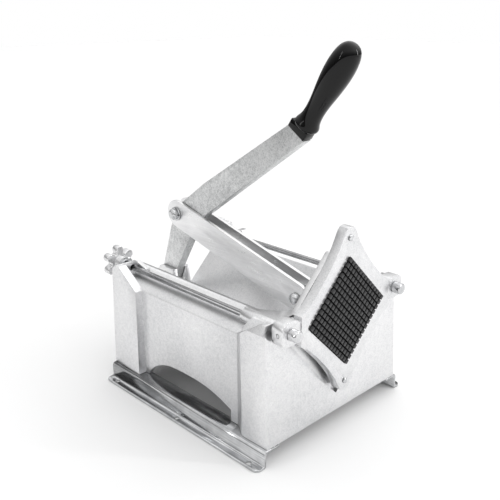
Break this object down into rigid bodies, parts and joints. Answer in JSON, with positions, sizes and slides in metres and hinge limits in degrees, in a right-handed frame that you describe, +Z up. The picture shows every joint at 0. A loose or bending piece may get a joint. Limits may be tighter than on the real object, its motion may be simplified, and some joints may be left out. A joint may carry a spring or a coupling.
{
  "type": "vegetable dicer",
  "caption": "Countertop lever press that dices vegetables: a cast V-trough housing on two rails, a cranked lever with links, a pusher with square fingers and a framed square blade grid.",
  "frame": {"origin": "on the table, at the middle of the dicer's overall width and length", "axes": "+X to the dicer's right seen from its blade end, +Y from the blade end towards the lever pivot, +Z up"},
  "size_m": [0.255, 0.3244, 0.4194],
  "materials": {
    "cast_aluminium": "satin cast",
    "polished_steel": "polished",
    "rail_aluminium": "polished sheet",
    "blade_steel": "ground",
    "gloss_black": "gloss",
    "matte_black": "matte"
  },
  "bodies": {
    "housing": {"housing": "cast_aluminium", "rail_left": "rail_aluminium", "rail_right": "rail_aluminium", "pivot_pin": "polished_steel", "pivot_clip": "polished_steel", "knob_washer_left": "polished_steel", "knob_washer_right": "polished_steel"},
    "blade_unit": {"blade_frame": "cast_aluminium", "blades_rising_left": "blade_steel", "blades_rising_right": "blade_steel", "blade_screw_top": "polished_steel", "blade_screw_bottom": "polished_steel", "blade_nut_top": "polished_steel", "blade_nut_bottom": "polished_steel", "tie_rod_left": "polished_steel", "tie_rod_right": "polished_steel", "ear_screw_left": "polished_steel", "ear_screw_right": "polished_steel"},
    "knob_left": {"star_knob_left": "cast_aluminium"},
    "knob_right": {"star_knob_right": "cast_aluminium"},
    "lever": {"lever": "cast_aluminium", "grip_ferrule": "gloss_black", "grip": "gloss_black", "elbow_bolt": "polished_steel", "elbow_nut": "polished_steel", "elbow_washer_left": "polished_steel", "elbow_washer_right": "polished_steel"},
    "links": {"link_left": "cast_aluminium", "link_right": "cast_aluminium", "push_pin": "polished_steel", "push_pin_nut": "polished_steel"},
    "pusher": {"pusher_head": "cast_aluminium", "finger_block": "matte_black", "pusher_screw_1": "polished_steel", "pusher_screw_2": "polished_steel", "pusher_screw_3": "polished_steel", "pusher_screw_4": "polished_steel"}
  },
  "joints": [
    {"name": "lever_swing", "type": "hinge", "parent": "housing", "child": "lever", "pos_m": [0, 0.14925, 0.104], "axis": [-1, 0, 0], "range_deg": [0, 80]},
    {"name": "link_swing", "type": "hinge", "parent": "lever", "child": "links", "pos_m": [0, 0.11925, 0.199], "axis": [-1, 0, 0], "range_deg": [-66.91, 0]},
    {"name": "pusher_slide", "type": "slide", "parent": "housing", "child": "pusher", "axis": [0, 1, 0], "range_m": [0, 0.11149]},
    {"name": "blade_unit_slide", "type": "slide", "parent": "housing", "child": "blade_unit", "axis": [0, -1, 0], "range_m": [0, 0.008]},
    {"name": "knob_left_turn", "type": "hinge", "parent": "housing", "child": "knob_left", "pos_m": [-0.087, 0.15125, 0.1468], "axis": [0, 1, 0], "continuous": true},
    {"name": "knob_right_turn", "type": "hinge", "parent": "housing", "child": "knob_right", "pos_m": [0.087, 0.15125, 0.1468], "axis": [0, 1, 0], "continuous": true}
  ],
  "couplings": [
    {"joint": "link_swing", "follows": "lever_swing", "ratio": -0.83574},
    {"joint": "pusher_slide", "follows": "lever_swing", "m_per_rad": 0.079708}
  ]
}
